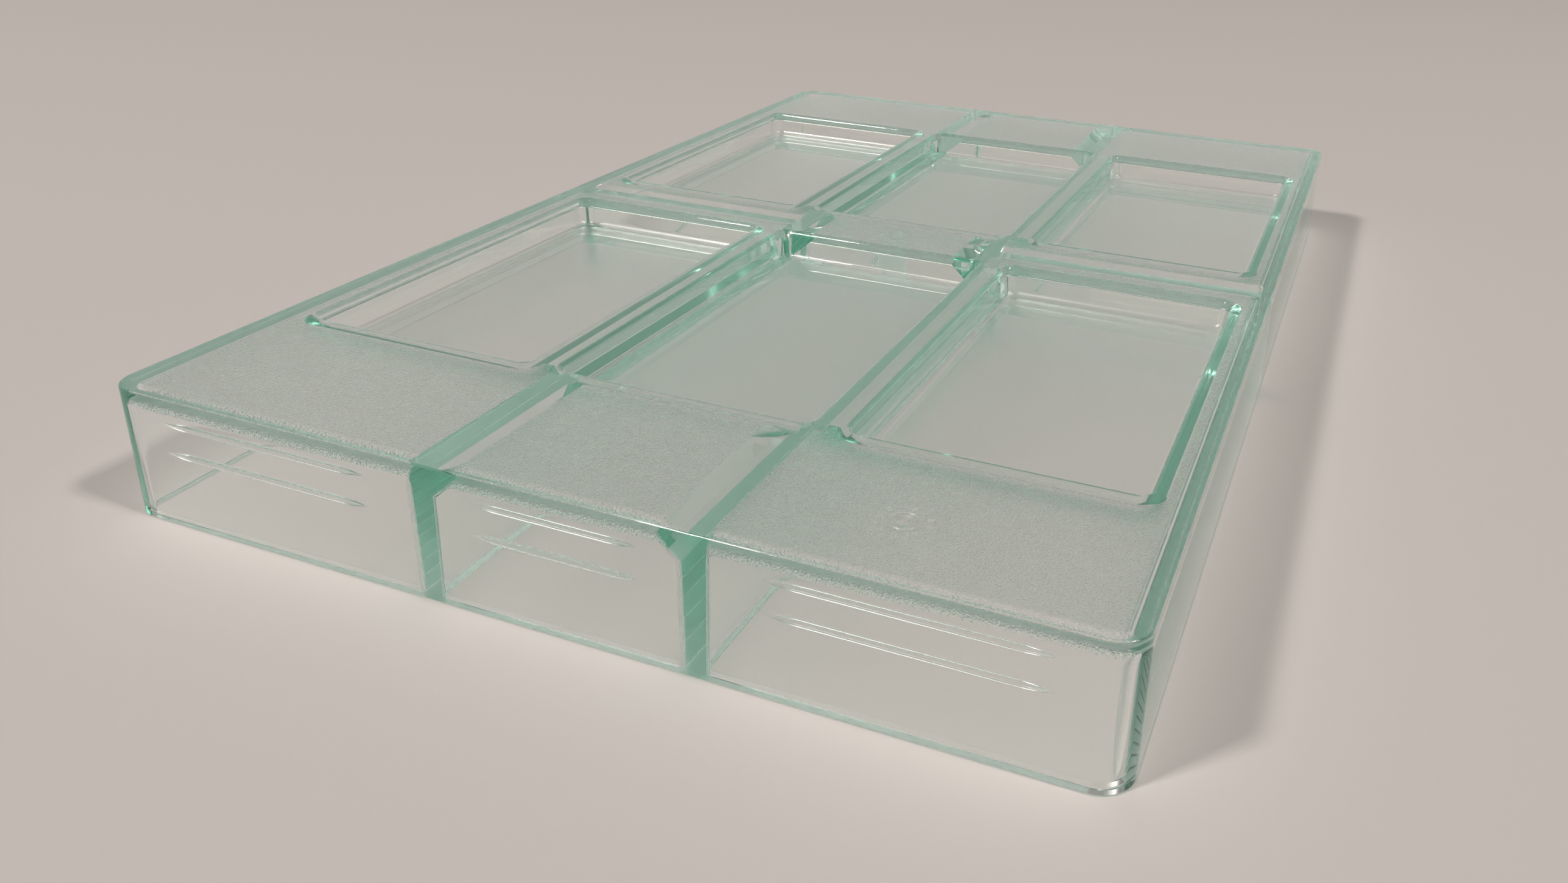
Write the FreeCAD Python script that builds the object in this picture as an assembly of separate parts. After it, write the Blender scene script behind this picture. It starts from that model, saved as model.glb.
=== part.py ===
import FreeCAD, Part
import math
import os

# A clear confectionery mould, filling side up: a deck with six shallow bar cavities,
# carried by a skirt that is open underneath and stiffened by ribs.
# The real thing is one injection moulding. Here each of its regions is a solid of its own,
# and the solids meet face to face.
# Millimetres. X runs along the width, Y along the length, Z is up.
# The origin is the middle of the footprint, on the surface that the mould stands on.

# Wall thicknesses
DECK_THICKNESS = 2.4
SKIRT_THICKNESS = 2.4
CUP_THICKNESS = 2.4
RIB_ROOT_THICKNESS = 4.0
CROSS_RIB_THICKNESS = 3.2

# Height and skirt
HEIGHT = 24.0
PLAN_CORNER_RADIUS = 5.5
SKIRT_FLARE = 0.3
SKIRT_FILLET = 1.5
BASE_EDGE_RADIUS = 0.6
DECK_EDGE_RADIUS = 0.35

# Cavities, measured at the deck's top face
COLUMN_NAMES = ("left", "middle", "right")
ROW_NAMES = ("front", "rear")
WEB_NAMES = ("left", "right")
CAVITY_WIDTH = 49.0
CAVITY_LENGTH = 89.0
CAVITY_DEPTH = 6.0
CAVITY_DRAFT_DEGREES = 8.0
CAVITY_CORNER_RADIUS = 2.0
CAVITY_FLOOR_FILLET = 0.8
CUP_FOOT_RADIUS = 3.0

# Space under the deck, between the walls of neighbouring cups and the skirt
# A web fills the one between columns, from a little above the cups' undersides to the deck
COLUMN_SLOT = 1.7
COLUMN_WEB_RISE = 1.0
SIDE_SLOT = 2.4
ROW_BAY = 15.2
END_BAY = 33.4

# Ribs
RIB_SETBACK = 0.2
RIB_DRAFT_DEGREES = 1.0
RIB_GUSSET_WIDTH = 4.0
RIB_GUSSET_HEIGHT = 3.5
CROSS_RIB_GUSSET = 2.5

# Half-round beads with long tapered ends inside the end walls, which held the moulding in its tool
SIDE_BEAD_LENGTH = 42.0
MIDDLE_BEAD_LENGTH = 29.0
BEAD_RADIUS = 0.65
BEAD_TAPER = 5.0
UPPER_BEAD_DROP = 2.9
BEAD_PITCH = 5.5

# Post under the middle of the deck
POST_ROOT_RADIUS = 3.4
POST_FOOT_RADIUS = 3.0

# Date dial, a shallow relief on the deck's underside
DIAL_FROM_FRONT = 17.5
DIAL_FROM_COLUMN_MIDDLE = 6.5
DIAL_TICK_START = 3.0
DIAL_HUB_RADIUS = 2.4
DIAL_LINE = 0.5
DIAL_RELIEF = 0.3
DIAL_TICKS = 12
DIAL_TICK_LENGTH = 1.4
POINTER_HEAD_WIDTH = 1.6
POINTER_GAP = 0.2

# Sizes that follow from the ones above
COLUMN_LAND = 2 * CUP_THICKNESS + COLUMN_SLOT
ROW_LAND = 2 * CUP_THICKNESS + ROW_BAY
SKIRT_INSET = SKIRT_FLARE + SKIRT_THICKNESS
SIDE_MARGIN = SKIRT_INSET + SIDE_SLOT + CUP_THICKNESS
END_MARGIN = SKIRT_INSET + END_BAY + CUP_THICKNESS
COLUMN_PITCH = CAVITY_WIDTH + COLUMN_LAND
ROW_PITCH = CAVITY_LENGTH + ROW_LAND
WIDTH = len(COLUMN_NAMES) * COLUMN_PITCH - COLUMN_LAND + 2 * SIDE_MARGIN
LENGTH = len(ROW_NAMES) * ROW_PITCH - ROW_LAND + 2 * END_MARGIN
DECK_UNDERSIDE = HEIGHT - DECK_THICKNESS
CUP_FLOOR = HEIGHT - CAVITY_DEPTH
CUP_UNDERSIDE = CUP_FLOOR - CUP_THICKNESS
DRAFT_SLOPE = math.tan(math.radians(CAVITY_DRAFT_DEGREES))
SKIRT_INNER_X = WIDTH / 2 - SKIRT_INSET
SKIRT_INNER_Y = LENGTH / 2 - SKIRT_INSET
RIB_OUTER_X = (
    CAVITY_WIDTH / 2 + CUP_THICKNESS - DRAFT_SLOPE * (HEIGHT - CUP_UNDERSIDE) - RIB_SETBACK
)
RIB_INNER_X = RIB_OUTER_X - RIB_ROOT_THICKNESS
RIB_DRAFT_SLOPE = math.tan(math.radians(RIB_DRAFT_DEGREES))

# How far a cutter stands proud of the face it cuts
OVERCUT = 1.0
# A quarter arc's middle lies this share of its radius from the corner, along both sides
ARC_MIDDLE = 1 - math.sqrt(0.5)
QUARTER_TURN = 90.0
HALF_TURN = 180.0
FULL_TURN = 360.0

UP = FreeCAD.Vector(0, 0, 1)
ALONG_X = FreeCAD.Vector(1, 0, 0)


def corner_stations():
    """Centres of the plan corners, counterclockwise, with the direction of the side before each."""
    half_x = WIDTH / 2 - PLAN_CORNER_RADIUS
    half_y = LENGTH / 2 - PLAN_CORNER_RADIUS
    return [
        ("front", "front_right", FreeCAD.Vector(half_x, -half_y, 0), -90.0),
        ("right", "rear_right", FreeCAD.Vector(half_x, half_y, 0), 0.0),
        ("rear", "rear_left", FreeCAD.Vector(-half_x, half_y, 0), 90.0),
        ("left", "front_left", FreeCAD.Vector(-half_x, -half_y, 0), 180.0),
    ]


def section_face(path, centre, angle):
    """Closed section in the upright plane through a corner's centre.

    The path holds (via, end) pairs of (inset, height) points, where via is the middle of an arc
    or None for a straight line. Inset is counted inwards from the footprint's edge.
    """
    outward = FreeCAD.Vector(math.cos(math.radians(angle)), math.sin(math.radians(angle)), 0)

    def place(point):
        inset, height = point
        return centre + outward * (PLAN_CORNER_RADIUS - inset) + UP * height

    edges = []
    here = place(path[-1][1])
    for via, end in path:
        there = place(end)
        if via is None:
            edges.append(Part.LineSegment(here, there).toShape())
        else:
            edges.append(Part.Arc(here, place(via), there).toShape())
        here = there
    return Part.Face(Part.Wire(edges))


def swept_round_footprint(path):
    """The section carried round the footprint: four straight sides and four corners, by name."""
    stations = corner_stations()
    sides = {}
    corners = {}
    previous = stations[-1][2]
    for side_name, corner_name, centre, angle in stations:
        sides[side_name] = section_face(path, previous, angle).extrude(centre - previous)
        corners[corner_name] = section_face(path, centre, angle).revolve(centre, UP, QUARTER_TURN)
        previous = centre
    return sides, corners


def lean(height):
    """How far the skirt's outer face has come in from the footprint at a height."""
    return SKIRT_FLARE * height / HEIGHT


def skirt_path():
    """Section of the skirt: flared outside, rounded at the base, filleted under the deck."""
    base = BASE_EDGE_RADIUS
    fillet = min(SKIRT_FILLET, SIDE_SLOT)
    inner = SKIRT_INSET
    top = DECK_UNDERSIDE
    return [
        (None, (inner - base, 0)),
        ((inner - base * ARC_MIDDLE, base * ARC_MIDDLE), (inner, base)),
        (None, (inner, top - fillet)),
        ((inner + fillet * ARC_MIDDLE, top - fillet * ARC_MIDDLE), (inner + fillet, top)),
        (None, (lean(top), top)),
        (None, (lean(base), base)),
        ((base * ARC_MIDDLE, base * ARC_MIDDLE), (base, 0)),
    ]


def deck_rim_path():
    """Section of the deck's outer strip, with its rounded top edge, in to the corners' centres."""
    edge = DECK_EDGE_RADIUS
    return [
        (None, (PLAN_CORNER_RADIUS, DECK_UNDERSIDE)),
        (None, (PLAN_CORNER_RADIUS, HEIGHT)),
        (None, (SKIRT_FLARE + edge, HEIGHT)),
        (
            (SKIRT_FLARE + edge * ARC_MIDDLE, HEIGHT - edge * ARC_MIDDLE),
            (lean(HEIGHT - edge), HEIGHT - edge),
        ),
        (None, (lean(DECK_UNDERSIDE), DECK_UNDERSIDE)),
    ]


def rounded_rectangle(centre_x, centre_y, half_x, half_y, radius, height):
    """Level closed wire of a rectangle with round corners."""
    corners = [(1, -1), (1, 1), (-1, 1), (-1, -1)]
    edges = []
    last_y = corners[-1][1]
    here = None
    for index, (sign_x, sign_y) in enumerate(corners + corners[:1]):
        middle_x = centre_x + sign_x * (half_x - radius)
        middle_y = centre_y + sign_y * (half_y - radius)
        along_x_end = FreeCAD.Vector(middle_x, middle_y + sign_y * radius, height)
        along_y_end = FreeCAD.Vector(middle_x + sign_x * radius, middle_y, height)
        bow = radius * (1 - ARC_MIDDLE)
        arc_middle = FreeCAD.Vector(middle_x + sign_x * bow, middle_y + sign_y * bow, height)
        comes_along_x = sign_y == last_y
        start, end = (along_x_end, along_y_end) if comes_along_x else (along_y_end, along_x_end)
        if here is not None:
            edges.append(Part.LineSegment(here, start).toShape())
        if index < len(corners):
            edges.append(Part.Arc(start, arc_middle, end).toShape())
        here = end
        last_y = sign_y
    return Part.Wire(edges)


def cavity_centre(column, row):
    """Middle of a cavity in plan."""
    x = (column - (len(COLUMN_NAMES) - 1) / 2) * COLUMN_PITCH
    y = (row - (len(ROW_NAMES) - 1) / 2) * ROW_PITCH
    return x, y


def tapered_block(column, row, wall, low, high):
    """Block with the cavity's draft, grown by a wall thickness, between two heights."""
    x, y = cavity_centre(column, row)
    wires = []
    for height in (low, high):
        growth = wall - DRAFT_SLOPE * (HEIGHT - height)
        half_x = CAVITY_WIDTH / 2 + growth
        half_y = CAVITY_LENGTH / 2 + growth
        wires.append(rounded_rectangle(x, y, half_x, half_y, CAVITY_CORNER_RADIUS + wall, height))
    return Part.makeLoft(wires, True, True)


def cavity_space(column, row):
    """The hollow of one cavity, with its floor's edge rounded, standing proud of the deck."""
    block = tapered_block(column, row, 0.0, CUP_FLOOR, HEIGHT + OVERCUT)
    floor_edges = [edge for edge in block.Edges if edge.BoundBox.ZMax < CUP_FLOOR + OVERCUT / 2]
    return block.makeFillet(CAVITY_FLOOR_FILLET, floor_edges)


def cup_block(column, row):
    """The outside of one cup, filled, with a round foot, up to the deck's underside."""
    block = tapered_block(column, row, CUP_THICKNESS, CUP_UNDERSIDE, DECK_UNDERSIDE)
    foot_edges = [edge for edge in block.Edges if edge.BoundBox.ZMax < CUP_UNDERSIDE + OVERCUT / 2]
    return block.makeFillet(CUP_FOOT_RADIUS, foot_edges)


def column_web(column, row, blocks):
    """Web in the space between a column's cup and the next one, as long as their flat sides."""
    x, y = cavity_centre(column, row)
    half_length = CAVITY_LENGTH / 2 - CAVITY_CORNER_RADIUS
    foot = CUP_UNDERSIDE + COLUMN_WEB_RISE
    corner = FreeCAD.Vector(x, y - half_length, foot)
    return Part.makeBox(COLUMN_PITCH, 2 * half_length, DECK_UNDERSIDE - foot, corner).cut(blocks)


def deck_plate(spaces):
    """The deck: one plate with a drafted opening over each cup."""
    sides, corners = swept_round_footprint(deck_rim_path())
    half_x = WIDTH / 2 - PLAN_CORNER_RADIUS
    half_y = LENGTH / 2 - PLAN_CORNER_RADIUS
    low_corner = FreeCAD.Vector(-half_x, -half_y, DECK_UNDERSIDE)
    plate = Part.makeBox(2 * half_x, 2 * half_y, DECK_THICKNESS, low_corner)
    rim = list(sides.values()) + list(corners.values())
    return plate.multiFuse(rim).removeSplitter().cut(spaces)


def long_rib(side, blocks, skirt):
    """Rib from end wall to end wall under one edge of the middle cups, gusseted to the deck.

    Both its sides draw in towards the foot.
    """
    gusset_foot = DECK_UNDERSIDE - RIB_GUSSET_HEIGHT
    outline = [
        (RIB_OUTER_X - RIB_DRAFT_SLOPE * DECK_UNDERSIDE, 0),
        (RIB_OUTER_X, DECK_UNDERSIDE),
        (RIB_INNER_X - RIB_GUSSET_WIDTH, DECK_UNDERSIDE),
        (RIB_INNER_X + RIB_DRAFT_SLOPE * RIB_GUSSET_HEIGHT, gusset_foot),
        (RIB_INNER_X + RIB_DRAFT_SLOPE * DECK_UNDERSIDE, 0),
    ]
    points = [FreeCAD.Vector(side * x, -SKIRT_INNER_Y, z) for x, z in outline]
    face = Part.Face(Part.makePolygon(points + points[:1]))
    return face.extrude(FreeCAD.Vector(0, 2 * SKIRT_INNER_Y, 0)).cut(blocks + skirt)


def cross_rib(side, rib, skirt):
    """Rib between the two rows, from a long rib out to the side wall, gusseted both ways."""
    start = RIB_OUTER_X - RIB_ROOT_THICKNESS / 2
    half = CROSS_RIB_THICKNESS / 2
    gusset_foot = DECK_UNDERSIDE - CROSS_RIB_GUSSET
    outline = [
        (-half, 0),
        (half, 0),
        (half, gusset_foot),
        (half + CROSS_RIB_GUSSET, DECK_UNDERSIDE),
        (-half - CROSS_RIB_GUSSET, DECK_UNDERSIDE),
        (-half, gusset_foot),
    ]
    points = [FreeCAD.Vector(side * start, y, z) for y, z in outline]
    face = Part.Face(Part.makePolygon(points + points[:1]))
    reach = side * (SKIRT_INNER_X - start)
    return face.extrude(FreeCAD.Vector(reach, 0, 0)).cut([rib] + skirt)


def bead(middle_x, length, wall_y, inward, height):
    """Half-round bead that swells from a point at each end, lying on an end wall's inner face."""
    middle = FreeCAD.Vector(middle_x, wall_y, height)
    swell = (BEAD_TAPER**2 + BEAD_RADIUS**2) / (2 * BEAD_RADIUS)
    halfway_rise = BEAD_RADIUS - swell + math.sqrt(swell**2 - BEAD_TAPER**2 / 4)

    def place(from_tip, rise, end):
        return middle + ALONG_X * (end * (length / 2 - from_tip)) + UP * rise

    edges = [
        Part.LineSegment(place(0, 0, -1), place(0, 0, 1)).toShape(),
        Part.Arc(
            place(0, 0, 1), place(BEAD_TAPER / 2, halfway_rise, 1), place(BEAD_TAPER, BEAD_RADIUS, 1)
        ).toShape(),
        Part.LineSegment(place(BEAD_TAPER, BEAD_RADIUS, 1), place(BEAD_TAPER, BEAD_RADIUS, -1)).toShape(),
        Part.Arc(
            place(BEAD_TAPER, BEAD_RADIUS, -1), place(BEAD_TAPER / 2, halfway_rise, -1), place(0, 0, -1)
        ).toShape(),
    ]
    return Part.Face(Part.Wire(edges)).revolve(middle, ALONG_X * -inward, HALF_TURN)


def end_wall_beads(inward):
    """Two beads in each of the three bays of an end wall."""
    wall_y = -inward * SKIRT_INNER_Y
    beads = []
    for column, name in enumerate(COLUMN_NAMES):
        middle_x = cavity_centre(column, 0)[0]
        length = MIDDLE_BEAD_LENGTH if name == "middle" else SIDE_BEAD_LENGTH
        for drop in (UPPER_BEAD_DROP, UPPER_BEAD_DROP + BEAD_PITCH):
            beads.append(bead(middle_x, length, wall_y, inward, DECK_UNDERSIDE - drop))
    return Part.makeCompound(beads)


def centre_post():
    """Tapered post between the two rows, from the deck down to the standing surface."""
    return Part.makeCone(POST_FOOT_RADIUS, POST_ROOT_RADIUS, DECK_UNDERSIDE)


def date_dial():
    """Dial with a ring, twelve month ticks round it and a pointer, under the right front margin."""
    right_middle = cavity_centre(len(COLUMN_NAMES) - 1, 0)[0]
    centre = FreeCAD.Vector(
        right_middle - DIAL_FROM_COLUMN_MIDDLE, -LENGTH / 2 + DIAL_FROM_FRONT, DECK_UNDERSIDE
    )
    hub = Part.makeCylinder(DIAL_HUB_RADIUS, DIAL_RELIEF, centre, -UP)
    pieces = [hub.cut(Part.makeCylinder(DIAL_HUB_RADIUS - DIAL_LINE, DIAL_RELIEF, centre, -UP))]
    for number in range(DIAL_TICKS):
        corner = centre + FreeCAD.Vector(-DIAL_LINE / 2, DIAL_TICK_START, -DIAL_RELIEF)
        tick = Part.makeBox(DIAL_LINE, DIAL_TICK_LENGTH, DIAL_RELIEF, corner)
        tick.rotate(centre, UP, number * FULL_TURN / DIAL_TICKS)
        pieces.append(tick)
    tip = DIAL_HUB_RADIUS - DIAL_LINE - POINTER_GAP
    outline = [
        (-DIAL_LINE / 2, -tip),
        (DIAL_LINE / 2, -tip),
        (DIAL_LINE / 2, 0),
        (POINTER_HEAD_WIDTH / 2, 0),
        (0, tip),
        (-POINTER_HEAD_WIDTH / 2, 0),
        (-DIAL_LINE / 2, 0),
    ]
    points = [centre + FreeCAD.Vector(x, y, 0) for x, y in outline]
    pointer = Part.Face(Part.makePolygon(points + points[:1]))
    pieces.append(pointer.extrude(-UP * DIAL_RELIEF))
    return Part.makeCompound(pieces)


def mould_regions():
    """Every region of the moulding, by node name."""
    regions = {}
    sides, corners = swept_round_footprint(skirt_path())
    for name, wall in sides.items():
        regions[name + "_wall"] = wall
    for name, corner in corners.items():
        regions["corner_" + name] = corner
    skirt = list(regions.values())

    spaces = []
    blocks = []
    for row, row_name in enumerate(ROW_NAMES):
        for column, column_name in enumerate(COLUMN_NAMES):
            space = cavity_space(column, row)
            block = cup_block(column, row)
            regions["cup_" + row_name + "_" + column_name] = block.cut(space)
            spaces.append(space)
            blocks.append(block)

    for row, row_name in enumerate(ROW_NAMES):
        for column, web_name in enumerate(WEB_NAMES):
            regions["web_" + row_name + "_" + web_name] = column_web(column, row, blocks)
    regions["deck_plate"] = deck_plate(spaces)
    for name, side in (("left", -1), ("right", 1)):
        regions["long_rib_" + name] = long_rib(side, blocks, skirt)
        regions["cross_rib_" + name] = cross_rib(side, regions["long_rib_" + name], skirt)
    regions["front_beads"] = end_wall_beads(1)
    regions["rear_beads"] = end_wall_beads(-1)
    regions["centre_post"] = centre_post()
    regions["date_dial"] = date_dial()
    return regions


os.makedirs("parts", exist_ok=True)
for node, shape in mould_regions().items():
    shape.exportStep("parts/" + node + ".step")
    print(node, len(shape.Solids), "solids", round(shape.Volume, 1), "mm3", shape.isValid())
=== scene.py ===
import logging
import math
from dataclasses import dataclass
from enum import Enum

import bmesh
import bpy
from mathutils import Matrix, Vector


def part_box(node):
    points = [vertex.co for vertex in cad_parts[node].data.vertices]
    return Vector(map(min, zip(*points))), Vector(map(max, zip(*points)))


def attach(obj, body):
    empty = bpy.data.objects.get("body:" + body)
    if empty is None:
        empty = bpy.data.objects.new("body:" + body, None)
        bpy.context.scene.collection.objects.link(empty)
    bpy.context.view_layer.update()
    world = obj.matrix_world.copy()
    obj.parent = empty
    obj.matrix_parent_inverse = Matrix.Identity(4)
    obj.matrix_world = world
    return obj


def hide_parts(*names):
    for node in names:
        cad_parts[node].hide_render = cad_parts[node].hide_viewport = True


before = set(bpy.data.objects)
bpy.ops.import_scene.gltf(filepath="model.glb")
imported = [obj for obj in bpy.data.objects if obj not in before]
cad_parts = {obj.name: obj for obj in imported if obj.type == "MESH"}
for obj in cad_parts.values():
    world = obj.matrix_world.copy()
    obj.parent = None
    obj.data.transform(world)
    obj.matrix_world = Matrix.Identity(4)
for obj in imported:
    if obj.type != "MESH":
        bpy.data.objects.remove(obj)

# A clear chocolate bar mould, standing filling side up. It is one injection moulding, so it is
# drawn as one closed body: separate solids would show seams inside clear plastic.
# Sizes are millimetres, turned to metres when a mesh is made.

LOG = logging.getLogger("mould")
MM = 0.001
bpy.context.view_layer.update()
# Between no bounce and one bounce of a light path
FIRST_BOUNCE = 0.5
# Haze and grain of a face that the tool left polished
POLISHED = (0.0, 0.0)


class Finish(Enum):
    """Names of the finishes that the scene uses."""

    CLEAR_POLYCARBONATE = "clear_polycarbonate_moulded"
    STUDIO_PAPER = "studio_paper_matt"


def linear(hex_colour: str) -> tuple[float, float, float]:
    """Turn an sRGB hex colour into linear light.

    Args:
        hex_colour: six hex digits, with or without a leading hash.

    Returns:
        Linear red, green and blue.
    """
    digits = hex_colour.lstrip("#")
    shares = [int(digits[i:i + 2], 16) / 255 for i in (0, 2, 4)]
    return tuple(s / 12.92 if s <= 0.04045 else ((s + 0.055) / 1.055) ** 2.4 for s in shares)


def add_node(tree: bpy.types.NodeTree, kind: str, settings: dict | None = None,
             *ordered: object, **named: object) -> bpy.types.Node:
    """Add a node with its settings and inputs.

    Args:
        tree: the node tree to add to.
        kind: Blender's type name of the node.
        settings: attributes to set on the node.
        ordered: a value, or an output socket to link, for each of the first inputs.
        named: the same for inputs given by their name, with _ for spaces.

    Returns:
        The new node.
    """
    node = tree.nodes.new(kind)
    for name, value in (settings or {}).items():
        setattr(node, name, value)
    filled = list(zip(node.inputs, ordered))
    for name, value in named.items():
        matches = (s for s in node.inputs if s.enabled and s.name.replace(" ", "_") == name)
        filled.append((next(matches), value))
    for socket, value in filled:
        if isinstance(value, bpy.types.NodeSocket):
            tree.links.new(value, socket)
        else:
            socket.default_value = value
    return node


def calculate(tree: bpy.types.NodeTree, operation: str, *values: object) -> bpy.types.NodeSocket:
    """Add a math node for some values or sockets and give its result."""
    return add_node(tree, "ShaderNodeMath", {"operation": operation}, *values).outputs["Value"]


@dataclass(frozen=True)
class ClearPolycarbonate:
    """Moulded polycarbonate: polished where the tool was polished, hazy or grained underneath.

    Polycarbonate bends light more than acrylic does. A pale green cast builds up along the
    path inside, so the flat deck looks nearly clear and the ribs, seen edge on, look deep green.
    """

    ior: float = 1.585
    tint: str = "#6AE3CD"
    tint_per_metre: float = 15.0
    haze_roughness: float = 0.8
    # The real grain is finer. It is drawn this coarse so that a picture of the whole mould shows it.
    grain_size_mm: float = 0.4
    grain_height_mm: float = 0.3
    grain_detail: float = 2.0
    grain_evenness: float = 0.5

    def build(self) -> bpy.types.Material:
        """Make the material, with haze and grain following the face attributes of those names.

        Returns:
            The material.
        """
        material = bpy.data.materials.new(Finish.CLEAR_POLYCARBONATE.value)
        material.use_nodes = True
        tree = material.node_tree
        tree.nodes.clear()
        place = add_node(tree, "ShaderNodeTexCoord").outputs["Object"]
        haze = add_node(tree, "ShaderNodeAttribute", {"attribute_name": "haze"}).outputs["Fac"]
        grain = add_node(tree, "ShaderNodeAttribute", {"attribute_name": "grain"}).outputs["Fac"]
        pits = add_node(tree, "ShaderNodeTexNoise", Vector=place, Scale=1 / (self.grain_size_mm * MM),
                        Detail=self.grain_detail, Roughness=self.grain_evenness)
        bumps = add_node(tree, "ShaderNodeBump", Height=pits.outputs["Fac"], Strength=grain,
                         Distance=self.grain_height_mm * MM)
        roughness = calculate(tree, "MULTIPLY", haze, self.haze_roughness)
        shell = add_node(tree, "ShaderNodeBsdfPrincipled", Base_Color=(1, 1, 1, 1), IOR=self.ior,
                         Roughness=roughness, Transmission_Weight=1.0,
                         Normal=bumps.outputs["Normal"])
        body = add_node(tree, "ShaderNodeVolumeAbsorption", Color=(*linear(self.tint), 1),
                        Density=self.tint_per_metre)
        add_node(tree, "ShaderNodeOutputMaterial", Surface=shell.outputs["BSDF"],
                 Volume=body.outputs["Volume"])
        return material


@dataclass(frozen=True)
class StudioPaper:
    """Matt pale paper sheet: even, warm, with no gloss."""

    colour: str = "#BDB9B8"
    roughness: float = 0.9
    gloss: float = 0.1

    def build(self) -> bpy.types.Material:
        """Make the material.

        Returns:
            The material.
        """
        material = bpy.data.materials.new(Finish.STUDIO_PAPER.value)
        material.use_nodes = True
        tree = material.node_tree
        tree.nodes.clear()
        sheet = add_node(tree, "ShaderNodeBsdfPrincipled", Base_Color=(*linear(self.colour), 1),
                         Roughness=self.roughness, Specular_IOR_Level=self.gloss)
        add_node(tree, "ShaderNodeOutputMaterial", Surface=sheet.outputs["BSDF"])
        return material


@dataclass(frozen=True)
class Ring:
    """Level rectangle with round corners, one slice of a stacked form.

    The radii go counterclockwise from the low-x, low-y corner.
    """

    x_low: float
    x_high: float
    y_low: float
    y_high: float
    z: float
    radii: tuple[float, float, float, float]
    steps: int = 20

    def points(self) -> list[Vector]:
        """Go round the ring.

        Returns:
            Points in metres, counterclockwise, the same number for every ring.
        """
        corners = [(self.x_low, self.y_low, 1, 1), (self.x_high, self.y_low, -1, 1),
                   (self.x_high, self.y_high, -1, -1), (self.x_low, self.y_high, 1, -1)]
        points = []
        for turn, ((x, y, in_x, in_y), radius) in enumerate(zip(corners, self.radii)):
            for step in range(self.steps + 1):
                angle = math.pi + math.pi / 2 * (turn + step / self.steps)
                points.append(Vector((x + in_x * radius + radius * math.cos(angle),
                                      y + in_y * radius + radius * math.sin(angle), self.z)) * MM)
        return points


def mesh_object(name: str, maker: bmesh.types.BMesh) -> bpy.types.Object:
    """Put a finished bmesh into a new object in the scene.

    Args:
        name: name of the object.
        maker: the mesh in the making, which is freed.

    Returns:
        The new object.
    """
    bmesh.ops.recalc_face_normals(maker, faces=maker.faces)
    mesh = bpy.data.meshes.new(name)
    maker.to_mesh(mesh)
    maker.free()
    piece = bpy.data.objects.new(name, mesh)
    bpy.context.scene.collection.objects.link(piece)
    return piece


def add_stack(maker: bmesh.types.BMesh, rings: list[Ring]) -> None:
    """Add a closed form through a stack of rings, from the lowest to the highest.

    Args:
        maker: the mesh in the making.
        rings: slices from bottom to top, all with the same number of points.
    """
    loops = [[maker.verts.new(point) for point in ring.points()] for ring in rings]
    count = len(loops[0])
    for low, high in zip(loops, loops[1:]):
        for i in range(count):
            j = (i + 1) % count
            maker.faces.new((low[i], low[j], high[j], high[i]))
    maker.faces.new(list(reversed(loops[0])))
    maker.faces.new(loops[-1])


def quarter(radius: float, steps: int) -> list[tuple[float, float]]:
    """Quarter round from the side of an edge to its end.

    Args:
        radius: radius of the round.
        steps: number of straight steps.

    Returns:
        Pairs of (inset from the side, distance still to go to the end).
    """
    turns = [math.pi / 2 * step / steps for step in range(steps + 1)]
    return [(radius * (1 - math.cos(turn)), radius * (1 - math.sin(turn))) for turn in turns]


@dataclass
class MouldPlan:
    """Main sizes of the mould, read from the frame."""

    half_x: float
    half_y: float
    top: float
    underside: float
    cup_underside: float
    rib_outer: float
    rib_gusset_edge: float
    cross_gusset_edge: float
    column_pitch: float
    row_pitch: float
    cup_half_x: float
    cup_half_y: float
    corner_radius: float
    columns: int = 3
    rows: int = 2
    flare: float = 0.3
    skirt: float = 2.4
    wall: float = 2.4
    draft: float = math.radians(8.0)

    @classmethod
    def from_frame(cls) -> "MouldPlan":
        """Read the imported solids' boxes.

        Returns:
            The plan, in millimetres.
        """
        box = {name: [corner / MM for corner in map(Vector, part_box(name))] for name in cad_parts}
        cup = box["cup_front_middle"]
        return cls(
            half_x=box["right_wall"][1].x,
            half_y=box["rear_wall"][1].y,
            top=box["deck_plate"][1].z,
            underside=box["deck_plate"][0].z,
            cup_underside=cup[0].z,
            rib_outer=box["long_rib_right"][1].x,
            rib_gusset_edge=box["long_rib_right"][0].x,
            cross_gusset_edge=box["cross_rib_right"][1].y,
            column_pitch=box["cup_front_right"][0].x - cup[0].x,
            row_pitch=box["cup_rear_middle"][0].y - cup[0].y,
            cup_half_x=(cup[1].x - cup[0].x) / 2,
            cup_half_y=(cup[1].y - cup[0].y) / 2,
            corner_radius=box["corner_front_right"][1].x - box["corner_front_right"][0].x,
        )

    @property
    def slope(self) -> float:
        """Sideways run of a cavity wall for each millimetre of depth."""
        return math.tan(self.draft)

    @property
    def skirt_inset(self) -> float:
        """From the footprint's edge to the skirt's inner face."""
        return self.flare + self.skirt

    @property
    def inner_y(self) -> float:
        """From the middle to the end walls' inner faces."""
        return self.half_y - self.skirt_inset

    @property
    def floor(self) -> float:
        """Height of the cavities' floors."""
        return self.cup_underside + self.wall

    def cavity_half(self, height: float) -> tuple[float, float]:
        """Half sizes of a cavity at a height."""
        growth = self.slope * (height - self.underside) - self.wall
        return self.cup_half_x + growth, self.cup_half_y + growth


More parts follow.
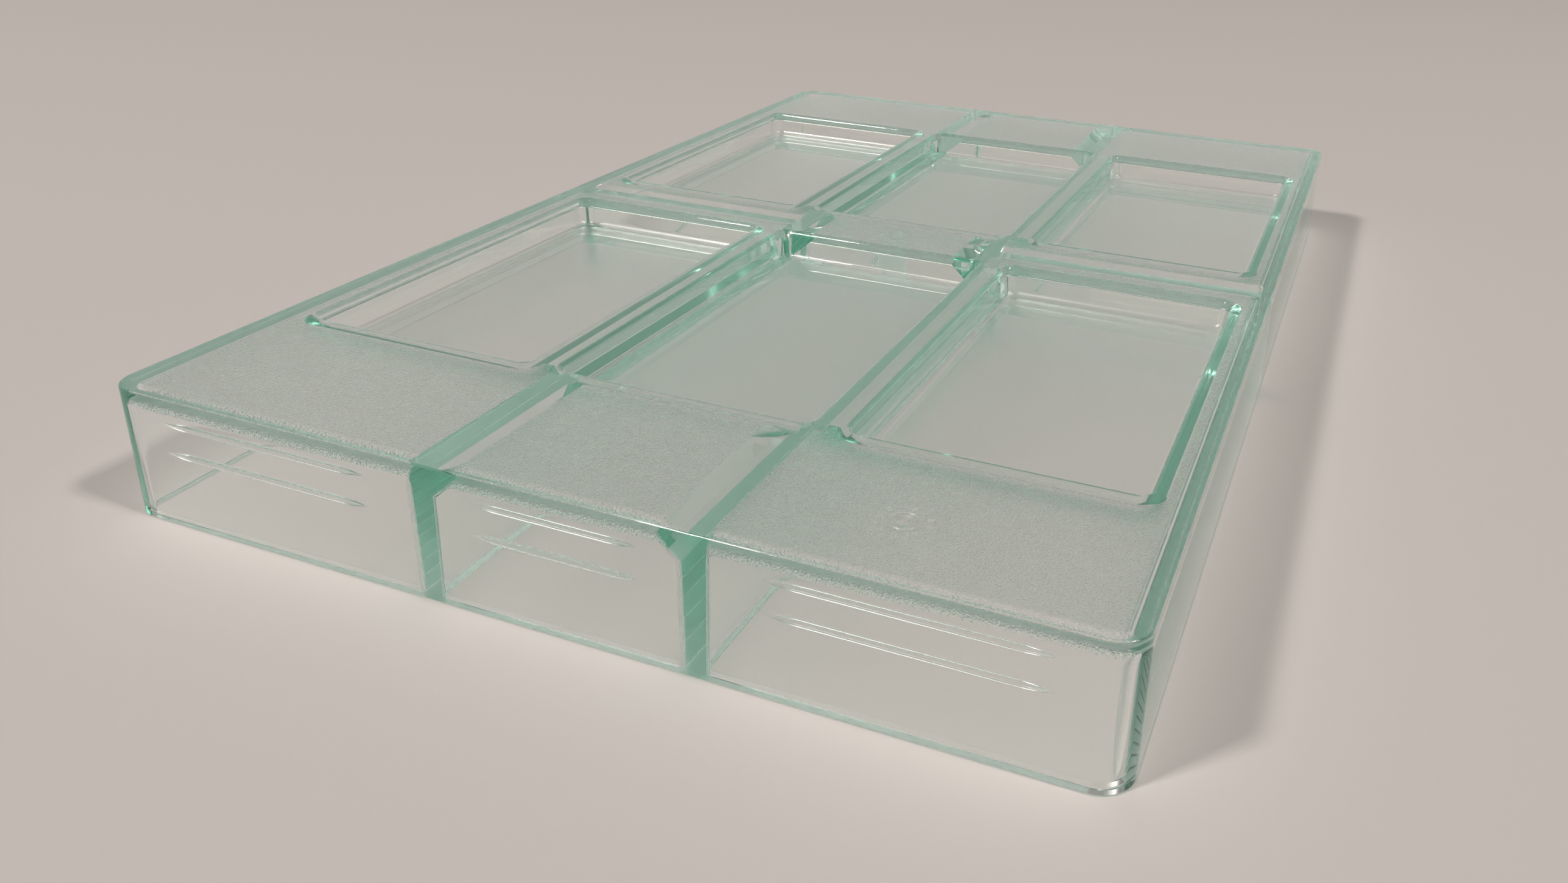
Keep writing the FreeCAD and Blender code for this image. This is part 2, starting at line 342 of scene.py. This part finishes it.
@dataclass
class Shell:
    """The outside of the moulding: flared skirt, rounded deck edge and rounded base."""

    plan: MouldPlan
    deck_edge: float = 0.35
    base_edge: float = 0.3
    steps: int = 6

    def ring(self, inset: float, z: float) -> Ring:
        """Slice the outside.

        Args:
            inset: distance in from the footprint.
            z: height of the slice.

        Returns:
            The slice.
        """
        plan = self.plan
        reach_x = plan.half_x - inset
        reach_y = plan.half_y - inset
        return Ring(-reach_x, reach_x, -reach_y, reach_y, z, (plan.corner_radius - inset,) * 4)

    def build(self) -> bpy.types.Object:
        """Make the closed outside.

        Returns:
            The filled outside.
        """
        plan = self.plan
        base = reversed(quarter(self.base_edge, self.steps))
        edge = quarter(self.deck_edge, self.steps)
        rings = [self.ring(inset, gap) for inset, gap in base]
        rings += [self.ring(plan.flare + inset, plan.top - gap) for inset, gap in edge]
        maker = bmesh.new()
        add_stack(maker, rings)
        return mesh_object("shell", maker)


@dataclass
class Pockets:
    """The hollow under the deck: a middle pocket and four side pockets, parted by the ribs."""

    plan: MouldPlan
    rib: float = 4.0
    rib_draft: float = math.radians(1.0)
    rib_gusset_height: float = 3.5
    cross_rib: float = 3.2
    fillet: float = 1.5
    base_edge: float = 0.3
    rib_corner: float = 1.1
    drop: float = 2.0
    steps: int = 6

    def heights(self, gusset_height: float) -> list[float]:
        """Find the levels where a pocket's slice changes.

        Args:
            gusset_height: height of the gusset under the deck.

        Returns:
            Heights from below the base up to the deck's underside.
        """
        top = self.plan.underside
        levels = [-self.drop] + [gap for _, gap in reversed(quarter(self.base_edge, self.steps))]
        levels += [top - gap for _, gap in quarter(self.fillet, self.steps)]
        levels.append(top - gusset_height)
        return sorted(set(round(level, 6) for level in levels))

    def skirt_step(self, z: float) -> float:
        """Find how far the skirt's inner face stands in, at its base round and its top fillet.

        Args:
            z: height on the face.

        Returns:
            Distance in from the plain face, less than nothing at the base round.
        """
        to_top = self.plan.underside - z
        if z < self.base_edge:
            rise = self.base_edge - max(z, 0.0)
            return -(self.base_edge - math.sqrt(max(self.base_edge ** 2 - rise ** 2, 0.0)))
        if to_top < self.fillet:
            rise = self.fillet - to_top
            return self.fillet - math.sqrt(max(self.fillet ** 2 - rise ** 2, 0.0))
        return 0.0

    def gusset_step(self, z: float, width: float, height: float) -> float:
        """Inset of a gusset that slopes from a rib to the deck."""
        return width * max(0.0, 1 - (self.plan.underside - z) / height)

    def rib_step(self, z: float) -> float:
        """How far each side of a long rib has drawn back from its root at a height."""
        return math.tan(self.rib_draft) * (self.plan.underside - z)

    def build(self) -> bpy.types.Object:
        """Make the closed hollows.

        Returns:
            The middle pocket and the four side pockets in one object.
        """
        maker = bmesh.new()
        add_stack(maker, self.middle_rings())
        for side_x in (-1, 1):
            for side_y in (-1, 1):
                add_stack(maker, self.side_rings(side_x, side_y))
        return mesh_object("pockets", maker)

    def middle_rings(self) -> list[Ring]:
        """Slice the pocket between the two long ribs.

        Returns:
            Slices from bottom to top.
        """
        plan = self.plan
        rib_inner = plan.rib_outer - self.rib
        rib_gusset = rib_inner - plan.rib_gusset_edge
        rings = []
        for z in self.heights(self.rib_gusset_height):
            gusset = self.gusset_step(z, rib_gusset, self.rib_gusset_height)
            reach = rib_inner - gusset + self.rib_step(z)
            end = plan.inner_y - self.skirt_step(z)
            rings.append(Ring(-reach, reach, -end, end, z, (self.rib_corner,) * 4))
        return rings

    def side_rings(self, side_x: int, side_y: int) -> list[Ring]:
        """Slice one of the four pockets between a long rib, a cross rib and the skirt.

        Args:
            side_x: -1 for left, 1 for right.
            side_y: -1 for front, 1 for rear.

        Returns:
            Slices from bottom to top.
        """
        plan = self.plan
        inner_x = plan.half_x - plan.skirt_inset
        cross_half = self.cross_rib / 2
        cross_gusset = plan.cross_gusset_edge - cross_half
        skirt_corner = [(-1, -1), (1, -1), (1, 1), (-1, 1)].index((side_x, side_y))
        rings = []
        for z in self.heights(cross_gusset):
            step = self.skirt_step(z)
            rib_side = plan.rib_outer - self.rib_step(z)
            near = cross_half + self.gusset_step(z, cross_gusset, cross_gusset)
            xs = sorted((side_x * rib_side, side_x * (inner_x - step)))
            ys = sorted((side_y * near, side_y * (plan.inner_y - step)))
            radii = [self.rib_corner] * 4
            radii[skirt_corner] = plan.corner_radius - plan.skirt_inset - step
            rings.append(Ring(*xs, *ys, z, tuple(radii)))
        return rings


@dataclass
class CavityGrid:
    """Six bar cavities in their cups, repeated over a grid of columns and rows."""

    plan: MouldPlan
    corner_radius: float = 2.0
    rim: float = 1.0
    floor_fillet: float = 0.8
    cup_edge: float = 3.0
    cup_root: float = 0.4
    proud: float = 2.0
    overlap: float = 0.5
    least_radius: float = 0.2
    steps: int = 5

    def ring(self, z: float, growth: float) -> Ring:
        """Slice one cavity about the plan's origin.

        Args:
            z: height of the slice.
            growth: distance that the slice is grown sideways.

        Returns:
            The slice.
        """
        half_x, half_y = self.plan.cavity_half(z)
        reach_x = half_x + growth
        reach_y = half_y + growth
        radius = max(self.corner_radius + growth, self.least_radius)
        return Ring(-reach_x, reach_x, -reach_y, reach_y, z, (radius,) * 4)

    def cavity(self) -> bpy.types.Object:
        """Make the hollow of one cavity, with a rounded rim and floor edge, proud of the deck.

        Returns:
            One closed hollow about the plan's origin.
        """
        plan = self.plan
        floor = reversed(quarter(self.floor_fillet, self.steps))
        rings = [self.ring(plan.floor + gap, -inset) for inset, gap in floor]
        rings += [self.ring(plan.top - gap, inset) for inset, gap in quarter(self.rim, self.steps)]
        rings.append(self.ring(plan.top + self.proud, self.rim))
        maker = bmesh.new()
        add_stack(maker, rings)
        return mesh_object("cavities", maker)

    def cup(self) -> bpy.types.Object:
        """Make the outside of one cup, with a rounded foot and a filleted root at the deck.

        Returns:
            One closed, filled cup about the plan's origin.
        """
        plan = self.plan
        foot = reversed(quarter(self.cup_edge, self.steps))
        rings = [self.ring(plan.cup_underside + gap, plan.wall - inset) for inset, gap in foot]
        root = quarter(self.cup_root, self.steps)
        rings += [self.ring(plan.underside - gap, plan.wall + inset) for inset, gap in root]
        rings.append(self.ring(plan.underside + self.overlap, plan.wall + self.cup_root))
        maker = bmesh.new()
        add_stack(maker, rings)
        return mesh_object("cups", maker)

    def spread(self, piece: bpy.types.Object, material: bpy.types.Material) -> bpy.types.Object:
        """Repeat a piece over the grid with Geometry Nodes and make the result a plain mesh.

        Args:
            piece: one cavity or cup about the plan's origin.
            material: finish of the repeated pieces.

        Returns:
            The same object, with the repeated mesh.
        """
        tree = bpy.data.node_groups.new("spread_over_grid", "GeometryNodeTree")
        face = tree.interface
        face.new_socket("Geometry", in_out="INPUT", socket_type="NodeSocketGeometry")
        for name, kind in (("Column Pitch", "NodeSocketFloat"), ("Row Pitch", "NodeSocketFloat"),
                           ("Columns", "NodeSocketInt"), ("Rows", "NodeSocketInt"),
                           ("Material", "NodeSocketMaterial")):
            face.new_socket(name, in_out="INPUT", socket_type=kind)
        face.new_socket("Geometry", in_out="OUTPUT", socket_type="NodeSocketGeometry")
        given = add_node(tree, "NodeGroupInput").outputs
        spans = {}
        for axis, pitch, count in (("X", "Column Pitch", "Columns"), ("Y", "Row Pitch", "Rows")):
            gaps = calculate(tree, "SUBTRACT", given[count], 1.0)
            spans[axis] = calculate(tree, "MULTIPLY", given[pitch], gaps)
        grid = add_node(tree, "GeometryNodeMeshGrid", Size_X=spans["X"], Size_Y=spans["Y"],
                        Vertices_X=given["Columns"], Vertices_Y=given["Rows"])
        copies = add_node(tree, "GeometryNodeInstanceOnPoints", Points=grid.outputs["Mesh"],
                          Instance=given["Geometry"])
        plain = add_node(tree, "GeometryNodeRealizeInstances", Geometry=copies.outputs["Instances"])
        dressed = add_node(tree, "GeometryNodeSetMaterial", Geometry=plain.outputs["Geometry"],
                           Material=given["Material"])
        add_node(tree, "NodeGroupOutput", Geometry=dressed.outputs["Geometry"])
        modifier = piece.modifiers.new("spread", "NODES")
        modifier.node_group = tree
        plan = self.plan
        values = {"Column Pitch": plan.column_pitch * MM, "Row Pitch": plan.row_pitch * MM,
                  "Columns": plan.columns, "Rows": plan.rows, "Material": material}
        for item in face.items_tree:
            if item.in_out == "INPUT" and item.name in values:
                modifier[item.identifier] = values[item.name]
        make_plain(piece)
        return piece


def make_plain(piece: bpy.types.Object) -> None:
    """Turn an object's modifiers into a plain mesh and remove them.

    Args:
        piece: the object to settle.
    """
    graph = bpy.context.evaluated_depsgraph_get()
    mesh = bpy.data.meshes.new_from_object(piece.evaluated_get(graph), depsgraph=graph)
    piece.modifiers.clear()
    piece.data = mesh


def drop_slivers(piece: bpy.types.Object, length: float) -> None:
    """Take faces and edges with no size to speak of out of a mesh.

    Args:
        piece: the object to clean.
        length: longest edge that goes, in millimetres.
    """
    maker = bmesh.new()
    maker.from_mesh(piece.data)
    bmesh.ops.dissolve_degenerate(maker, dist=length * MM, edges=maker.edges)
    maker.to_mesh(piece.data)
    maker.free()


def combine(target: bpy.types.Object, other: bpy.types.Object, operation: str) -> None:
    """Join or cut one closed mesh with another, which is then removed.

    Args:
        target: the object that is changed.
        other: the object that is added or taken away.
        operation: UNION or DIFFERENCE.
    """
    modifier = target.modifiers.new("combine", "BOOLEAN")
    modifier.operation = operation
    modifier.object = other
    modifier.solver = "EXACT"
    make_plain(target)
    bpy.data.objects.remove(other)


@dataclass
class Webs:
    """Solid webs that fill the narrow space between the cups of neighbouring columns."""

    names: tuple[str, ...] = ("web_front_left", "web_front_right", "web_rear_left", "web_rear_right")
    sink: float = 0.5
    corner: float = 0.1

    def build(self) -> bpy.types.Object:
        """Make the webs as closed boxes that reach a little into the deck.

        Returns:
            The four boxes in one object.
        """
        maker = bmesh.new()
        for name in self.names:
            low, high = (Vector(corner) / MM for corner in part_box(name))
            sides = low.x, high.x, low.y, high.y
            levels = low.z, high.z + self.sink
            add_stack(maker, [Ring(*sides, z, (self.corner,) * 4) for z in levels])
        return mesh_object("webs", maker)


@dataclass
class Beads:
    """Low round retaining beads inside the end walls, two in each bay."""

    plan: MouldPlan
    side_length: float = 42.0
    middle_length: float = 29.0
    half_height: float = 0.65
    depth: float = 0.45
    upper_drop: float = 2.9
    pitch: float = 5.5
    taper: float = 5.0
    tip_share: float = 0.05
    sides: int = 20
    steps: int = 6

    def add_bead(self, maker: bmesh.types.BMesh, middle: Vector, length: float) -> None:
        """Add one bead that swells from a point at each end.

        Args:
            maker: the mesh in the making.
            middle: middle of the bead, on the wall's inner face, in millimetres.
            length: length from tip to tip.
        """
        stations = [(-length / 2 + self.taper * i / self.steps, math.sin(math.pi / 2 * i / self.steps))
                    for i in range(self.steps + 1)]
        stations += [(-x, share) for x, share in reversed(stations)]
        loops = []
        for x, share in stations:
            swell = max(share, self.tip_share)
            loop = []
            for side in range(self.sides):
                angle = math.tau * side / self.sides
                out = swell * self.depth * math.cos(angle)
                up = swell * self.half_height * math.sin(angle)
                loop.append(maker.verts.new((middle + Vector((x, out, up))) * MM))
            loops.append(loop)
        for near, far in zip(loops, loops[1:]):
            for i in range(self.sides):
                j = (i + 1) % self.sides
                maker.faces.new((near[i], near[j], far[j], far[i]))
        maker.faces.new(list(reversed(loops[0])))
        maker.faces.new(loops[-1])

    def build(self) -> bpy.types.Object:
        """Make every bead as a closed form, half sunk in its wall.

        Returns:
            The beads of both end walls in one object.
        """
        plan = self.plan
        maker = bmesh.new()
        wall_y = plan.inner_y
        for y in (-wall_y, wall_y):
            for column in (-1, 0, 1):
                length = self.side_length if column else self.middle_length
                for drop in (self.upper_drop, self.upper_drop + self.pitch):
                    middle = Vector((column * plan.column_pitch, y, plan.underside - drop))
                    self.add_bead(maker, middle, length)
        return mesh_object("beads", maker)


@dataclass
class Post:
    """Tapered post under the middle of the deck, down to the surface that the mould stands on."""

    foot_share: float = 0.88
    sink: float = 0.5
    sides: int = 48

    def build(self) -> bpy.types.Object:
        """Make the post as a closed form, sunk a little into the deck.

        Returns:
            The post.
        """
        low, high = (Vector(corner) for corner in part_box("centre_post"))
        radius = (high.x - low.x) / 2
        depth = high.z - low.z + self.sink * MM
        middle = Vector(((low.x + high.x) / 2, (low.y + high.y) / 2, low.z + depth / 2))
        maker = bmesh.new()
        bmesh.ops.create_cone(maker, cap_ends=True, segments=self.sides, depth=depth,
                              radius1=radius * self.foot_share, radius2=radius,
                              matrix=Matrix.Translation(middle))
        return mesh_object("post", maker)


@dataclass
class DateDial:
    """Month dial in low relief under the deck: a ring, an arrow and the months' numbers."""

    ring_radius: float = 2.5
    line: float = 0.35
    arrow_reach: float = 1.6
    arrow_width: float = 1.0
    arrow_barb: float = 0.45
    months: int = 12
    number_height: float = 1.5
    number_radius: float = 3.9
    number_curve: int = 3
    number_half_depth: float = 0.5
    number_weld: float = 1e-4
    sink: float = 0.2
    steps: int = 64

    def add_prism(self, maker: bmesh.types.BMesh, outline: list[tuple[float, float]],
                  low: float, high: float) -> None:
        """Add an upright prism over a level outline, in millimetres.

        Args:
            maker: the mesh in the making.
            outline: corners, counterclockwise.
            low: height of the foot.
            high: height of the top.
        """
        foot = [maker.verts.new(Vector((x, y, low)) * MM) for x, y in outline]
        head = [maker.verts.new(Vector((x, y, high)) * MM) for x, y in outline]
        for i in range(len(outline)):
            j = (i + 1) % len(outline)
            maker.faces.new((foot[i], foot[j], head[j], head[i]))
        maker.faces.new(list(reversed(foot)))
        maker.faces.new(head)

    def add_ring(self, maker: bmesh.types.BMesh, x: float, y: float, low: float, high: float) -> None:
        """Add the ring, a line wide, in millimetres.

        Args:
            maker: the mesh in the making.
            x: middle of the dial.
            y: middle of the dial.
            low: height of the foot.
            high: height of the top.
        """
        section = [(self.ring_radius, low), (self.ring_radius, high),
                   (self.ring_radius - self.line, high), (self.ring_radius - self.line, low)]
        loops = []
        for step in range(self.steps):
            turn = math.tau * step / self.steps
            across, along = math.cos(turn), math.sin(turn)
            points = [Vector((x + r * across, y + r * along, z)) for r, z in section]
            loops.append([maker.verts.new(point * MM) for point in points])
        for i, loop in enumerate(loops):
            after = loops[(i + 1) % self.steps]
            for k in range(len(section)):
                n = (k + 1) % len(section)
                maker.faces.new((loop[k], after[k], after[n], loop[n]))

    def add_number(self, maker: bmesh.types.BMesh, month: int, x: float, y: float,
                   low: float, high: float) -> None:
        """Add one month's number, its head outwards, at its place round the dial.

        Args:
            maker: the mesh in the making.
            month: the number, from 1.
            x: middle of the dial.
            y: middle of the dial.
            low: height of the foot.
            high: height of the top.
        """
        letters = bpy.data.curves.new("number", "FONT")
        letters.body = str(month)
        letters.align_x = "CENTER"
        letters.align_y = "CENTER"
        letters.resolution_u = self.number_curve
        letters.extrude = self.number_half_depth
        holder = bpy.data.objects.new("number", letters)
        mesh = bpy.data.meshes.new_from_object(holder)
        part = bmesh.new()
        part.from_mesh(mesh)
        bmesh.ops.remove_doubles(part, verts=part.verts, dist=self.number_weld)
        turn = Matrix.Rotation(-math.tau * month / self.months, 4, "Z")
        size = Matrix.Diagonal((self.number_height * MM, self.number_height * MM, (high - low) * MM, 1))
        middle = Matrix.Translation(Vector((x, y, (low + high) / 2)) * MM)
        outwards = Matrix.Translation(Vector((0, self.number_radius, 0)) * MM)
        bmesh.ops.transform(part, verts=part.verts, matrix=middle @ turn @ outwards @ size)
        part.to_mesh(mesh)
        part.free()
        maker.from_mesh(mesh)
        bpy.data.objects.remove(holder)
        bpy.data.meshes.remove(mesh)
        bpy.data.curves.remove(letters)

    def build(self) -> bpy.types.Object:
        """Make the dial's closed forms, sunk a little into the deck.

        Returns:
            The ring, the arrow and the numbers in one object.
        """
        corners = [Vector(corner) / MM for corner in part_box("date_dial")]
        x, y, _ = (corners[0] + corners[1]) / 2
        low, high = corners[0].z, corners[1].z + self.sink
        maker = bmesh.new()
        self.add_ring(maker, x, y, low, high)
        half = self.arrow_width / 2
        tail = (half, self.arrow_reach), (-half, self.arrow_reach)
        head = (-half, -half), (-half - self.arrow_barb, -half), (0, -self.arrow_reach)
        arrow = [*tail, *head, (half + self.arrow_barb, -half), (half, -half)]
        self.add_prism(maker, [(x + across, y + along) for across, along in arrow], low, high)
        for month in range(1, self.months + 1):
            self.add_number(maker, month, x, y, low, high)
        return mesh_object("dial", maker)


@dataclass
class Moulding:
    """The whole moulding as one closed clear body."""

    plan: MouldPlan
    flat_tilt: float = 0.99
    grain_tilt: float = 0.3
    dial_rise: float = 2.0
    wall_clear: float = 0.05
    foot_height: float = 0.7
    fillet_reach: float = 1.6
    deck_haze: float = 0.6
    deck_grain: float = 0.3
    dial_haze: float = 0.1
    dial_clear: float = 0.1
    fillet_grain: float = 1.0
    cup_haze: float = 0.25
    rib_haze: float = 0.7
    crease: float = math.radians(32.0)
    sliver: float = 0.002
    face_weight: int = 100

    def build(self, material: bpy.types.Material) -> bpy.types.Object:
        """Cut the pockets and cavities out of the shell and dress the result.

        Args:
            material: the clear plastic.

        Returns:
            The finished body.
        """
        grid = CavityGrid(self.plan)
        body = Shell(self.plan).build()
        hollow = Pockets(self.plan).build()
        combine(hollow, grid.spread(grid.cup(), material), "DIFFERENCE")
        combine(hollow, Webs().build(), "DIFFERENCE")
        combine(body, hollow, "DIFFERENCE")
        combine(body, grid.spread(grid.cavity(), material), "DIFFERENCE")
        for extra in (Beads(self.plan).build(), Post().build(), DateDial().build()):
            combine(body, extra, "UNION")
        drop_slivers(body, self.sliver)
        body.name = "mould_body"
        body.data.name = "mould_body"
        self.dress(body, material)
        return body

    def finish_of(self, face: bpy.types.MeshPolygon) -> tuple[float, float]:
        """How hazy and how grained a face is, from its place and the way it looks.

        Args:
            face: a face of the body.

        Returns:
            Haze and grain, each from 0 to 1.
        """
        plan = self.plan
        height = face.center.z / MM
        off_walls = abs(face.center.y) / MM < plan.inner_y - self.wall_clear
        on_rib = abs(face.center.x) / MM < plan.cup_half_x and off_walls
        if on_rib and height < plan.cup_underside:
            return self.rib_haze, 0.0
        if height < self.foot_height:
            return POLISHED
        flat = face.normal.z < -self.flat_tilt
        if flat and height > plan.underside - self.dial_clear:
            return self.deck_haze, self.deck_grain
        if flat and height > plan.cup_underside + self.dial_rise:
            return self.dial_haze, 0.0
        at_end = abs(face.center.y) / MM > plan.inner_y - self.fillet_reach
        in_fillet = at_end and height > plan.underside - self.fillet_reach
        if face.normal.z < -self.grain_tilt and in_fillet:
            return 0.0, self.fillet_grain
        if flat:
            return self.cup_haze, 0.0
        return POLISHED

    def dress(self, body: bpy.types.Object, material: bpy.types.Material) -> None:
        """Give the body its finish, its haze and grain underneath and clean shading.

        Args:
            body: the body to dress.
            material: the clear plastic.
        """
        mesh = body.data
        mesh.materials.clear()
        mesh.materials.append(material)
        finishes = zip(*(self.finish_of(face) for face in mesh.polygons))
        for name, values in zip(("haze", "grain"), finishes):
            mesh.attributes.new(name, "FLOAT", "FACE").data.foreach_set("value", values)
        for face in mesh.polygons:
            face.material_index = 0
            face.use_smooth = True
        mesh.set_sharp_from_angle(angle=self.crease)
        weigh = body.modifiers.new("weigh", "WEIGHTED_NORMAL")
        weigh.keep_sharp = True
        weigh.weight = self.face_weight
        make_plain(body)


@dataclass(frozen=True)
class Lamp:
    """Square soft light that looks at the mould.

    It lights the floor and shines on polished faces. Behind the plastic the world stands for it,
    as a broad glow or as even light, because a path seldom finds so small a lamp through many faces.
    """

    name: str
    place: tuple[float, float, float]
    size: float
    power: float
    colour: str = "#FFF7F0"
    glow_share: float = 1.2

    def build(self) -> None:
        """Add the lamp to the scene."""
        data = bpy.data.lights.new(self.name, "AREA")
        data.size = self.size
        data.energy = self.power
        data.color = linear(self.colour)
        data.use_nodes = True
        tree = data.node_tree
        tree.nodes.clear()
        depth = add_node(tree, "ShaderNodeLightPath").outputs["Diffuse Depth"]
        first = calculate(tree, "LESS_THAN", depth, FIRST_BOUNCE)
        glow = add_node(tree, "ShaderNodeEmission", Strength=first)
        add_node(tree, "ShaderNodeOutputLight", Surface=glow.outputs["Emission"])
        lamp = bpy.data.objects.new(self.name, data)
        lamp.visible_transmission = False
        lamp.location = self.place
        lamp.rotation_euler = (-Vector(self.place)).to_track_quat("-Z", "Y").to_euler()
        bpy.context.scene.collection.objects.link(lamp)

    def add_glow(self, tree: bpy.types.NodeTree, way: bpy.types.NodeSocket,
                 sharpness: float) -> bpy.types.NodeSocket:
        """Add a broad glow in the lamp's direction, with a share of its light.

        Args:
            tree: the world's node tree.
            way: the direction looked in.
            sharpness: power of the glow's fall with the angle.

        Returns:
            The glow's strength.
        """
        place = Vector(self.place)
        arriving = self.glow_share * self.power / (math.pi * place.length_squared)
        peak = arriving * (sharpness + 1) / math.tau
        towards = tuple(place.normalized())
        facing = add_node(tree, "ShaderNodeVectorMath", {"operation": "DOT_PRODUCT"}, way, towards)
        front = calculate(tree, "MAXIMUM", facing.outputs["Value"], 0.0)
        fall = calculate(tree, "POWER", front, sharpness)
        return calculate(tree, "MULTIPLY", fall, peak)


@dataclass
class Studio:
    """Pale paper floor, soft light and the camera."""

    camera_place: tuple[float, float, float] = (101.57, -265.69, 115.92)
    heading: float = math.radians(21.11)
    pitch: float = math.radians(-24.05)
    roll: float = math.radians(2.03)
    focal_length: float = 28.88
    sensor: float = 36.0
    shift: tuple[float, float] = (-0.0647, -0.0469)
    clip_start: float = 0.01
    floor_size: float = 6.0
    floor_gap: float = 0.05
    room_colour: str = "#F9F1EA"
    room_low: float = 0.75
    room_high: float = 0.2
    room_high_from: float = 0.7
    through_low: float = 0.7
    through_high: float = 1.1
    glow_sharpness: float = 40.0
    bounces: int = 32
    lamps: tuple[Lamp, ...] = (Lamp("lamp_left", (-1.7, -2.2, 2.9), 0.45, 91.0),
                               Lamp("lamp_right", (2.36, -0.16, 3.23), 0.45, 67.0))

    def build(self) -> None:
        """Add floor, lights, world and camera."""
        self.add_floor()
        for lamp in self.lamps:
            lamp.build()
        self.add_world()
        self.add_camera()
        bpy.context.scene.view_settings.view_transform = "Standard"
        paths = bpy.context.scene.cycles
        paths.max_bounces = self.bounces
        paths.transmission_bounces = self.bounces
        paths.glossy_bounces = self.bounces
        paths.blur_glossy = 0.0

    def add_world(self) -> None:
        """Add the soft room light, brighter near the horizon than overhead.

        It also stands for the lamps' light where a path from the floor comes out through the plastic.
        """
        world = bpy.data.worlds.new("studio")
        world.use_nodes = True
        world.cycles.sampling_method = "NONE"
        tree = world.node_tree
        tree.nodes.clear()
        way = add_node(tree, "ShaderNodeTexCoord").outputs["Generated"]
        parts = add_node(tree, "ShaderNodeSeparateXYZ", Vector=way)
        level = add_node(tree, "ShaderNodeMapRange", Value=parts.outputs["Z"], From_Min=0.0,
                         From_Max=self.room_high_from, To_Min=self.room_low, To_Max=self.room_high)
        path = add_node(tree, "ShaderNodeLightPath").outputs
        from_floor = calculate(tree, "GREATER_THAN", path["Diffuse Depth"], FIRST_BOUNCE)
        through = calculate(tree, "SUBTRACT", from_floor, path["Is Diffuse Ray"])
        overhead = add_node(tree, "ShaderNodeMapRange", Value=parts.outputs["Z"], From_Min=0.0,
                            From_Max=1.0, To_Min=self.through_low, To_Max=self.through_high)
        strength = calculate(tree, "MULTIPLY_ADD", through, overhead.outputs["Result"],
                             level.outputs["Result"])
        seen = add_node(tree, "ShaderNodeMath", {"operation": "SUBTRACT", "use_clamp": True},
                        path["Is Transmission Ray"], from_floor)
        for lamp in self.lamps:
            glow = lamp.add_glow(tree, way, self.glow_sharpness)
            strength = calculate(tree, "MULTIPLY_ADD", seen.outputs["Value"], glow, strength)
        sky = add_node(tree, "ShaderNodeBackground", Color=(*linear(self.room_colour), 1),
                       Strength=strength)
        add_node(tree, "ShaderNodeOutputWorld", Surface=sky.outputs["Background"])
        bpy.context.scene.world = world

    def add_floor(self) -> None:
        """Add the sheet that the mould stands on."""
        maker = bmesh.new()
        half = self.floor_size / 2
        corners = [(-half, -half), (half, -half), (half, half), (-half, half)]
        maker.faces.new([maker.verts.new((x, y, -self.floor_gap * MM)) for x, y in corners])
        floor = mesh_object("floor", maker)
        floor.data.materials.append(StudioPaper().build())

    def add_camera(self) -> None:
        """Add the camera at the photograph's place."""
        data = bpy.data.cameras.new("camera")
        data.sensor_width = self.sensor
        data.lens = self.focal_length
        data.shift_x, data.shift_y = self.shift
        data.clip_start = self.clip_start
        camera = bpy.data.objects.new("camera", data)
        turn = (Matrix.Rotation(self.heading, 4, "Z") @ Matrix.Rotation(math.pi / 2 + self.pitch, 4, "X")
                @ Matrix.Rotation(self.roll, 4, "Z"))
        camera.matrix_world = Matrix.Translation(Vector(self.camera_place) * MM) @ turn
        bpy.context.scene.collection.objects.link(camera)
        bpy.context.scene.camera = camera


def main() -> None:
    """Build the mould and its studio, and log the mould body's face count."""
    logging.basicConfig(level=logging.INFO, format="%(name)s: %(message)s")
    plan = MouldPlan.from_frame()
    plastic = ClearPolycarbonate().build()
    body = Moulding(plan).build(plastic)
    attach(body, "root")
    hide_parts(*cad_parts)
    LOG.info("%s: %d faces", body.name, len(body.data.polygons))
    Studio().build()


if __name__ == "__main__":
    main()
